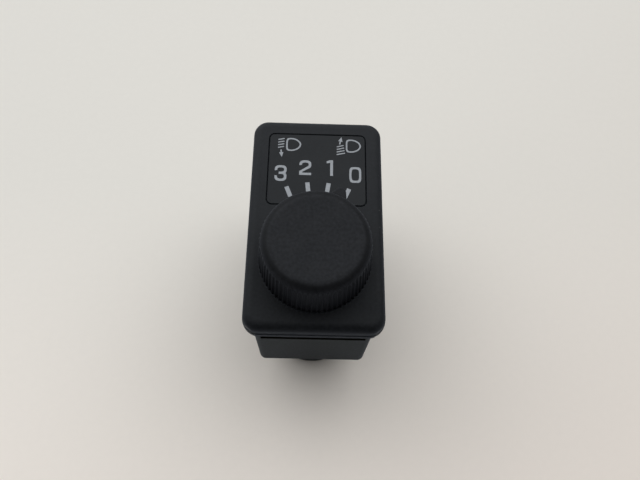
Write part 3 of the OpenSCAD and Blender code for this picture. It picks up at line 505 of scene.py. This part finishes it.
def worked_metal(name, colour, tarnish, tarnished, roughness, streak_mm, depth_mm):
    material, tree, shader = start_material(name, Metallic=1.0)
    marks = place_group(tree, tool_streaks, Streak_mm=streak_mm)
    grain = place_group(tree, moulded_grain, Grain_mm=0.3, Mottle_mm=1.4)
    patches = calculate(tree, "MULTIPLY", grain["Mottle"], tarnished)
    tree.links.new(blend_colour(tree, patches, colour, tarnish), shader["Base Color"])
    streaky = ramp(tree, marks["Sheen"], off=0.0, on=1.0, least=roughness - SMOOTHER_MARK,
                   most=roughness + ROUGHER_MARK)
    dull = calculate(tree, "MULTIPLY", patches, TARNISH_DULLS)
    tree.links.new(calculate(tree, "ADD", streaky, dull), shader["Roughness"])
    tree.links.new(bump(tree, marks["Height"], depth_mm, METAL_EDGE_MM), shader["Normal"])
    return material


print("tool marks change the roughness by", round(SMOOTHER_MARK + ROUGHER_MARK, 2))

# %% [markdown]
# The tint tells the metals apart: steel is grey, brass yellow, bronze brown and porous, copper red.
# The second colour of each is its tarnish.

# %% Mix the metals
turned_steel = worked_metal("turned steel", (0.56, 0.56, 0.57), (0.3, 0.29, 0.28), tarnished=0.3,
                            roughness=0.3, streak_mm=0.06, depth_mm=0.003)
spring_steel = worked_metal("spring steel", (0.5, 0.5, 0.51), (0.25, 0.24, 0.25), tarnished=0.4,
                            roughness=0.22, streak_mm=0.04, depth_mm=0.002)
ball_steel = worked_metal("ball steel", (0.64, 0.64, 0.65), (0.5, 0.5, 0.5), tarnished=0.2,
                          roughness=0.1, streak_mm=0.2, depth_mm=0.0005)
bronze = worked_metal("sintered bronze", (0.46, 0.3, 0.14), (0.2, 0.12, 0.06), tarnished=0.6,
                      roughness=0.42, streak_mm=0.1, depth_mm=0.004)
contact_brass = worked_metal("stamped brass", (0.68, 0.48, 0.2), (0.4, 0.26, 0.12), tarnished=0.4,
                             roughness=0.28, streak_mm=0.07, depth_mm=0.002)
copper_foil = worked_metal("copper foil", (0.75, 0.38, 0.22), (0.4, 0.2, 0.1), tarnished=0.4,
                           roughness=0.26, streak_mm=0.05, depth_mm=0.001)
tinned_brass = worked_metal("tin plate", (0.62, 0.61, 0.58), (0.4, 0.39, 0.37), tarnished=0.5,
                            roughness=0.34, streak_mm=0.08, depth_mm=0.002)
zinc_steel = worked_metal("zinc plate", (0.55, 0.56, 0.57), (0.42, 0.4, 0.33), tarnished=0.5,
                          roughness=0.36, streak_mm=0.09, depth_mm=0.002)
print("metals ready: 8")

# %% [markdown]
# The other moulded and glazed things are simple: one roughness, two colours that the mottling
# blends, and a fine bump. Natural nylon is milky, because light goes in and comes out a little
# way off, so its shader has some subsurface. The chips are glazed ceramic. The light guide is
# clear acrylic and the lamp is soda glass, both full transmission with a touch of moulding
# waviness in the bump.

# %% Materials: nylon, ceramic and clear solids
WHITE = (1.0, 1.0, 1.0)


def mottled_finish(name, first, second, roughness, grain_mm, mottle_mm, depth_mm, edge_mm=0.0, **plain):
    material, tree, shader = start_material(name, Roughness=roughness, **plain)
    grain = place_group(tree, moulded_grain, Grain_mm=grain_mm, Mottle_mm=mottle_mm)
    tree.links.new(blend_colour(tree, grain["Mottle"], first, second), shader["Base Color"])
    tree.links.new(bump(tree, grain["Height"], depth_mm, edge_mm), shader["Normal"])
    return material


natural_nylon = mottled_finish("natural nylon", (0.66, 0.64, 0.56), (0.78, 0.76, 0.69), roughness=0.42,
                               grain_mm=0.25, mottle_mm=2.0, depth_mm=0.004, edge_mm=0.12,
                               Subsurface_Weight=0.25, Subsurface_Scale=MM)
chip_glaze = mottled_finish("glazed chip", (0.012, 0.012, 0.012), (0.025, 0.024, 0.024), roughness=0.25,
                            grain_mm=0.1, mottle_mm=0.4, depth_mm=0.002, edge_mm=0.05)
clear_acrylic = mottled_finish("clear acrylic", (0.95, 0.98, 0.99), WHITE, roughness=0.04, grain_mm=2.5,
                               mottle_mm=3.0, depth_mm=0.01, Transmission_Weight=1.0, IOR=1.49)
lamp_glass = mottled_finish("lamp glass", (0.97, 0.98, 0.98), WHITE, roughness=0.04, grain_mm=4.0,
                            mottle_mm=3.0, depth_mm=0.01, Transmission_Weight=1.0, IOR=1.52)
print("nylon, ceramic and clear materials ready: 4")

# %% [markdown]
# The circuit board's green solder mask is a thin gloss over a faint woven glass cloth. Two sets of
# waves cross like warp and weft, and the higher of the two shows at each spot.

# %% Material: solder mask
def solder_mask():
    material, tree, shader = start_material("solder mask", Roughness=0.35, Coat_Weight=0.5,
                                            Coat_Roughness=0.12)
    threads = {"Vector": where(tree), "Scale": 0.5 / MM}
    warp = add_node(tree, "ShaderNodeTexWave", {**threads, "Distortion": 0.4})
    weft = add_node(tree, "ShaderNodeTexWave", threads, bands_direction="Y")
    weave = calculate(tree, "MAXIMUM", warp.outputs["Fac"], weft.outputs["Fac"])
    low_green, high_green = (0.012, 0.07, 0.03), (0.02, 0.11, 0.045)
    tree.links.new(blend_colour(tree, weave, low_green, high_green), shader["Base Color"])
    tree.links.new(bump(tree, weave, depth_mm=0.004), shader["Normal"])
    return material


board_mask = solder_mask()
print("material ready:", board_mask.name)

# %% [markdown]
# Each CAD piece now gets its finish. The piece keeps its mesh: only what its material slots hold
# changes, and the record's slot name says which finish belongs to which piece.

# %% Dress the CAD pieces
finish_of_slot = {
    "face_plastic": face_plastic, "legend_plastic": legend_plastic, "clear_acrylic": clear_acrylic,
    "case_plastic": case_plastic, "knob_plastic": knob_plastic, "spring_steel": spring_steel,
    "turned_steel": turned_steel, "bronze": bronze, "natural_nylon": natural_nylon,
    "ball_steel": ball_steel, "contact_brass": contact_brass, "board_laminate": board_mask,
    "copper_foil": copper_foil, "chip_ceramic": chip_glaze, "base_plastic": base_plastic,
    "tinned_brass": tinned_brass, "zinc_steel": zinc_steel, "lamp_glass": lamp_glass,
}
for part in frame["record"]["subparts"]:
    piece = nodes[part["node"]]
    piece.data.materials.clear()
    piece.data.materials.append(finish_of_slot[part["material_slot"]])

# %% [markdown]
# The legend is pad-printed: flat shapes a few hundredths of a millimetre thick, in a pale grey that
# lets light through from behind. Text objects would bring a typeface, so each sign is drawn from
# arcs and corners, in millimetres on the panel's face. An arc here is part of a superellipse,
# which is squarer than a circle where its power is above 2.

# %% Helpers for printed outlines
def arc(centre, half_w, half_h, start, end, square=2.0, steps=18):
    points = []
    for k in range(steps + 1):
        angle = math.radians(start + (end - start) * k / steps)
        c, s = math.cos(angle), math.sin(angle)
        x = math.copysign(abs(c) ** (2 / square), c) * half_w
        y = math.copysign(abs(s) ** (2 / square), s) * half_h
        points.append((centre[0] + x, centre[1] + y))
    return points


def turned(points, degrees):
    spin = Matrix.Rotation(math.radians(degrees), 2)
    return [tuple(spin @ Vector(p)) for p in points]


def moved(points, dx, dy):
    return [(x + dx, y + dy) for x, y in points]


def bar(start, end, width):
    start, end = Vector(start), Vector(end)
    side = (end - start).orthogonal().normalized() * width / 2
    return [tuple(p) for p in (start + side, start - side, end - side, end + side)]


print("a half circle has", len(arc((0, 0), 1, 1, 0, 180)), "points")

# %% [markdown]
# The ink is grey when the lamp behind it is off. It is slightly uneven, as thin ink over dark
# plastic is.

# %% Material: legend ink
legend_ink = mottled_finish("legend ink", (0.27, 0.275, 0.285), (0.34, 0.345, 0.355), roughness=0.5,
                            grain_mm=0.08, mottle_mm=0.5, depth_mm=0.004, Specular_IOR_Level=0.35)
print("material ready:", legend_ink.name)

# %% [markdown]
# A sign is raised into a thin closed prism: its outline stands once just below the face and once at
# the ink's height, with a skirt between the two. A shape of one loop is filled. A shape of two
# loops with equal counts is a ring, the first its outside and the second its hole.

# %% Raise a printed shape
INK_MM = 0.02
SUNK_MM = 0.01


def join_loops(work, first, second):
    for k in range(len(first)):
        j = (k + 1) % len(first)
        work.faces.new((first[k], first[j], second[j], second[k]))


def stand_loop(work, loop, middle, level):
    z = face_z + level * MM
    return [work.verts.new((middle.x + x * MM, middle.y + y * MM, z)) for x, y in loop]


def raise_shape(work, loops, middle):
    stacks = [[stand_loop(work, loop, middle, level) for level in (-SUNK_MM, INK_MM)] for loop in loops]
    for lower, upper in stacks:
        join_loops(work, lower, upper)
    for rings in zip(*stacks):
        if len(rings) == 1:
            work.faces.new(rings[0])
        else:
            join_loops(work, *rings)


print("ink stands", INK_MM, "mm above the face")

# %% [markdown]
# All the shapes of a sign become one mesh. It rides on the case, because the legend panel is fixed
# there, and takes the legend ink.

# %% Print a sign on the face
def print_on_face(name, shapes, middle):
    work = bmesh.new()
    for loops in shapes:
        raise_shape(work, loops, middle)
    bmesh.ops.recalc_face_normals(work, faces=work.faces)
    mesh = bpy.data.meshes.new(name)
    work.to_mesh(mesh)
    work.free()
    mesh.materials.append(legend_ink)
    piece = bpy.data.objects.new(name, mesh)
    bpy.context.scene.collection.objects.link(piece)
    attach(piece, "case")
    print(name, "has", len(mesh.polygons), "faces")


# %% [markdown]
# Four ticks stand on a circle round the knob's axis, one for each setting. The print sits a hair
# clockwise of the knob's own steps, as prints do.

# %% Print the ticks
tick_in, tick_out, tick_w = 14.35, 16.75, 0.87
print_turn = 0.9
middle_setting = (SETTINGS - 1) / 2
ticks = []
for setting in range(SETTINGS):
    lean = (middle_setting - setting) * setting_step + print_turn
    ticks.append([turned(bar((0, tick_in), (0, tick_out), tick_w), -lean)])
print_on_face("legend_ticks", ticks, knob_axis)

# %% [markdown]
# The digits 3, 2, 1 and 0 are drawn in one grotesque hand: square shoulders, and strokes of nearly
# one width. Each is an outline about its own centre, traced once round. The nought and the one
# come first, as a ring and a plain corner outline.

# %% Draw the nought and the one
DIGIT_H, DIGIT_HALF_W = 3.68, 1.23


def digit_zero():
    half_h, side_stroke, cap_stroke = DIGIT_H / 2, 0.44, 0.49
    round_trip = {"start": 0, "end": 350, "steps": 35}
    outside = arc((0, 0), DIGIT_HALF_W, half_h, square=4.0, **round_trip)
    inside = arc((0, 0), DIGIT_HALF_W - side_stroke, half_h - cap_stroke, square=3.6, **round_trip)
    return [outside, inside]


def digit_one():
    top, right, stem = DIGIT_H / 2, 0.7, 0.58
    left = right - stem
    flag_left = left - 0.74
    flag_top, flag_low, flag_root = top - 0.24, top - 0.76, top - 0.6
    return [[(right, -top), (right, top), (left, top), (flag_left, flag_top), (flag_left, flag_low),
             (left, flag_root), (left, -top)]]


print("digits are", DIGIT_H, "mm high and", 2 * DIGIT_HALF_W, "mm wide")

# %% [markdown]
# The two and the three have bowls with hooked ends, so each bowl is an arc that runs a little past
# the horizontal. Inner arcs run back the other way, and the heel and the middle bar are corners.

# %% Draw the two and the three
STROKE = 0.53
SQUARE = 2.7


def digit_two():
    half_h, bowl_h, heel_h = 1.73, 1.0, 0.88
    hook, sweep = 186, -38
    crown = (0, half_h - bowl_h)
    outer = arc(crown, DIGIT_HALF_W, bowl_h, hook, sweep, SQUARE)
    inner = arc(crown, DIGIT_HALF_W - STROKE, bowl_h - STROKE, sweep, hook, SQUARE)
    left, right, foot_top, heel_top = -DIGIT_HALF_W, DIGIT_HALF_W, STROKE - half_h, heel_h - half_h
    knee, ankle = (left + 0.66, heel_top - 0.12), (left + 0.62, foot_top)
    heel = [knee, ankle, (right, foot_top), (right, -half_h), (left, -half_h), (left, heel_top)]
    return [outer + heel + inner]


def digit_three():
    half_h, waist, notch = DIGIT_H / 2, 0.06, 0.74
    hook, bar_left = 188, -0.4
    up_h = (half_h - waist + STROKE / 2) / 2
    down_h = (half_h + waist + STROKE / 2) / 2
    up, down = (0, half_h - up_h), (0, down_h - half_h)
    dip = math.degrees(math.asin(notch ** (SQUARE / 2)))
    inner_w = DIGIT_HALF_W - STROKE
    outer_top = arc(up, DIGIT_HALF_W, up_h, hook, -dip, SQUARE)
    outer_low = arc(down, DIGIT_HALF_W, down_h, dip, -hook, SQUARE)
    inner_low = arc(down, inner_w, down_h - STROKE, -hook, 90, SQUARE)
    bar_end = [(bar_left, waist - STROKE / 2), (bar_left, waist + STROKE / 2)]
    inner_top = arc(up, inner_w, up_h - STROKE, -90, hook, SQUARE)
    return [outer_top + outer_low + inner_low + bar_end + inner_top]


print("stroke of the curved digits:", STROKE, "mm")

# %% [markdown]
# The digits stand over their ticks. Their places are measured from the middle of the panel.

# %% Print the digits
places = [(digit_three, -7.47, -1.18), (digit_two, -2.42, 0.24), (digit_one, 2.62, 0.31),
          (digit_zero, 7.93, -1.18)]
digit_shapes = [[moved(loop, x, y) for loop in draw()] for draw, x, y in places]
print_on_face("legend_digits", digit_shapes, panel_mid)

# %% [markdown]
# Two lamp signs stand above the digits: a lamp in side view, four beams that slant down, and an
# arrow. The left one points down and the right one up, for a lower and a higher beam. The lamp
# itself is a ring: a round bowl in front and a squarer back.

# %% Draw a lamp sign
LAMP_LINE, BEAM_LINE = 0.32, 0.24
BEAMS = 4
WAIST_SHARE = 0.36
SHAFT_HALF, HEAD_HALF, HEAD_LENGTH = 0.14, 0.46, 1.1


def lamp_outline(left, right, middle, height, inset):
    waist = left + WAIST_SHARE * (right - left)
    half_h = height / 2 - inset
    bowl = arc((waist, middle), right - waist - inset, half_h, 90, -90, square=1.85, steps=18)
    back = arc((waist, middle), waist - left - inset, half_h, -90, -265, square=4.0, steps=17)
    return bowl + back


def arrow(tail, tip):
    neck = tip + (tail - tip).normalized() * HEAD_LENGTH
    side = (tip - tail).orthogonal().normalized()
    shaft, head = side * SHAFT_HALF, side * HEAD_HALF
    outline = (tail + shaft, neck + shaft, neck + head, tip, neck - head, neck - shaft, tail - shaft)
    return [tuple(p) for p in outline]


def lamp_sign(left, right, middle, height, top_beam, low_beam, rise, tail, tip):
    shapes = [[lamp_outline(left, right, middle, height, inset) for inset in (0.0, LAMP_LINE)]]
    for k in range(BEAMS):
        beam_left, beam_right, y = Vector(top_beam).lerp(Vector(low_beam), k / (BEAMS - 1))
        shapes.append([bar((beam_left, y), (beam_right, y + rise), BEAM_LINE)])
    shapes.append([arrow(Vector(tail), Vector(tip))])
    return shapes


print("a lamp sign has", 2 + BEAMS, "shapes")

# %% [markdown]
# A beam is given by the places of its left and right end and the height of its left end. Only the
# top and the lowest beam are given, and the other two lie evenly between them.

# %% Print the lamp signs
sign_low = lamp_sign(left=-6.57, right=-3.41, middle=5.73, height=3.17, top_beam=(-8.25, -6.95, 6.86),
                     low_beam=(-8.25, -7.0, 4.93), rise=0.28, tail=(-7.61, 4.4), tip=(-7.39, 2.68))
sign_high = lamp_sign(left=5.98, right=9.19, middle=5.71, height=3.2, top_beam=(4.1, 5.52, 5.43),
                      low_beam=(4.05, 5.8, 3.56), rise=0.4, tail=(4.68, 6.05), tip=(5.05, 7.86))
print_on_face("lamp_sign_low_beam", sign_low, panel_mid)
print_on_face("lamp_sign_high_beam", sign_high, panel_mid)

# %% [markdown]
# The table is one large, pale sheet. It is stage, not part of the object, and takes the soft shadow
# that shows how high the case floats on its drum. It is painted lighter and warmer toward the
# viewer and darker toward the right, as painted light and shade, and it is a little cloudy. Only
# the camera sees these tones: the light that the table throws up at the switch is that of one
# plain, cooler colour.

# %% Colour the table
WARMER_WAY, DARKER_WAY = (0.0, -1.0, 0.0), (0.75, -0.66, 0.0)
FAR_SHEET, NEAR_SHEET = (0.838, 0.78, 0.697), (0.912, 0.82, 0.728)
SHADED_SHEET, SHADED = (0.48, 0.34, 0.27), 0.18
CLOUD_COLOUR, WIDE_CLOUDS, FINE_CLOUDS = (0.2, 0.18, 0.16), 0.03, 0.04
BOUNCE = (0.71, 0.72, 0.76)


def table_colour(tree):
    place = where(tree)
    # Painted light and shade: lighter and warmer toward the viewer, darker toward the right.
    warmer = ramp(tree, calculate_vector(tree, "DOT_PRODUCT", place, WARMER_WAY), off=-0.03, on=0.045)
    darker = ramp(tree, calculate_vector(tree, "DOT_PRODUCT", place, DARKER_WAY), off=-0.03, on=0.11)
    sheet = blend_colour(tree, warmer, FAR_SHEET, NEAR_SHEET)
    shaded = blend_colour(tree, calculate(tree, "MULTIPLY", darker, SHADED), sheet, SHADED_SHEET)
    wide = calculate(tree, "MULTIPLY", noise(tree, place, scale=9.0, detail=3.0), WIDE_CLOUDS)
    fine = calculate(tree, "MULTIPLY", noise(tree, place, scale=0.6 / MM, detail=3.0), FINE_CLOUDS)
    cloudy = blend_colour(tree, calculate(tree, "ADD", wide, fine), shaded, CLOUD_COLOUR)
    looked_at = add_node(tree, "ShaderNodeLightPath").outputs["Is Camera Ray"]
    return blend_colour(tree, looked_at, BOUNCE, cloudy)


print("colour of the light thrown up:", BOUNCE)

# %% [markdown]
# Seen from below, the sheet is clear, so that the switch can be looked at from underneath too. It
# lies a hair under the drum's end, so that the two don't flicker into each other.

# %% Lay the table
def pale_table():
    material, tree, shader = start_material("pale table", Roughness=0.6, Specular_IOR_Level=0.3)
    tree.links.new(table_colour(tree), shader["Base Color"])
    below = add_node(tree, "ShaderNodeNewGeometry").outputs["Backfacing"]
    sheet = tree.nodes["Principled BSDF"].outputs[0]
    clear = add_node(tree, "ShaderNodeBsdfTransparent").outputs[0]
    either = add_node(tree, "ShaderNodeMixShader", {0: below, 1: sheet, 2: clear}).outputs[0]
    tree.links.new(either, tree.nodes["Material Output"].inputs["Surface"])
    return material


table_half, table_z = 3.0, -0.02 * MM
sheet_corners = [(x * table_half, y * table_half, table_z) for x, y in ((-1, -1), (1, -1), (1, 1), (-1, 1))]
table_mesh = bpy.data.meshes.new("table")
table_mesh.from_pydata(sheet_corners, [], [(0, 1, 2, 3)])
table_mesh.materials.append(pale_table())
table = bpy.data.objects.new("table", table_mesh)
bpy.context.scene.collection.objects.link(table)
print("table side:", 2 * table_half, "m")

# %% [markdown]
# The room lights the switch, not a lamp. Its ceiling lamps and a window behind the switch are so far
# off that the world can play them: each is a broad glow round one direction, given as a compass
# angle from the right, a height, and a strength. A glow is full at its core and gone at its
# edge, both given as the cosine of the angle from its middle. Overhead and on the viewer's side
# the room is dark, so the case throws one soft shadow toward the viewer.

# %% Place the glows of the room
GLOWS = {
    "ceiling, back right": (45, 50, 1.6),
    "ceiling, back": (90, 50, 0.3),
    "ceiling, back left": (135, 50, 1.0),
    "ceiling, left": (180, 50, 0.5),
    "ceiling, right": (0, 50, 0.17),
    "window, back": (90, 15, 0.37),
    "window, back left": (135, 15, 1.27),
}
GLOW_EDGE, GLOW_CORE = 0.70, 0.98


def direction(compass, height):
    flat = math.cos(math.radians(height))
    return (flat * math.cos(math.radians(compass)), flat * math.sin(math.radians(compass)),
            math.sin(math.radians(height)))


def glow(tree, way, compass, height, strength):
    toward = calculate_vector(tree, "DOT_PRODUCT", way, direction(compass, height))
    inputs = {"Value": toward, "From Min": GLOW_EDGE, "From Max": GLOW_CORE, "To Max": strength}
    return add_node(tree, "ShaderNodeMapRange", inputs, interpolation_type="SMOOTHSTEP").outputs["Result"]


print("glows in the room:", len(GLOWS))

# %% [markdown]
# The glows add up to one light of a slightly cool white. Where the camera looks past the table, the
# world shows it a pale backdrop instead.

# %% Light the scene
ROOM_LIGHT, BACKDROP = (0.925, 0.97, 1.015, 1.0), (0.9, 0.9, 0.9, 1.0)
world = bpy.data.worlds.new("room")
bpy.context.scene.world = world
world.use_nodes = True
tree = world.node_tree
backdrop = tree.nodes["Background"]
backdrop.inputs["Color"].default_value = BACKDROP
backdrop.inputs["Strength"].default_value = 1.0
way = add_node(tree, "ShaderNodeTexCoord").outputs["Generated"]
total = 0.0
for compass, height, strength in GLOWS.values():
    total = calculate(tree, "ADD", glow(tree, way, compass, height, strength), total)
light = add_node(tree, "ShaderNodeBackground", {"Color": ROOM_LIGHT, "Strength": total})
looked_at = add_node(tree, "ShaderNodeLightPath").outputs["Is Camera Ray"]
either = add_node(tree, "ShaderNodeMixShader", {0: looked_at, 1: light.outputs[0], 2: backdrop.outputs[0]})
tree.links.new(either.outputs[0], tree.nodes["World Output"].inputs["Surface"])
print("total strength of the glows:", round(sum(values[-1] for values in GLOWS.values()), 2))

# %% [markdown]
# The camera looks down at the face from the lower edge's side, tilted about 23 degrees from
# upright, as a phone held over the table does. Its place was worked out from the bezel's
# outline. The two small turns level the picture.

# %% Set the camera
CAMERA_MM = (-1.436, -50.082, 149.238)
LENS_MM, SENSOR_MM = 33.35, 36.0
lean, tilt, spin = (math.radians(angle) for angle in (-1.23, 22.89, 0.93))
camera_data = bpy.data.cameras.new("camera")
camera_data.sensor_width = SENSOR_MM
camera_data.lens = LENS_MM
camera = bpy.data.objects.new("camera", camera_data)
bpy.context.scene.collection.objects.link(camera)
aim = Matrix.Rotation(lean, 3, "Y") @ Matrix.Rotation(tilt, 3, "X") @ Matrix.Rotation(spin, 3, "Z")
camera.matrix_world = Matrix.Translation(Vector(CAMERA_MM) * MM) @ aim.to_4x4()
bpy.context.scene.camera = camera
bpy.context.scene.view_settings.view_transform = "Standard"
print("camera at", [round(v / MM, 1) for v in camera.location], "mm")
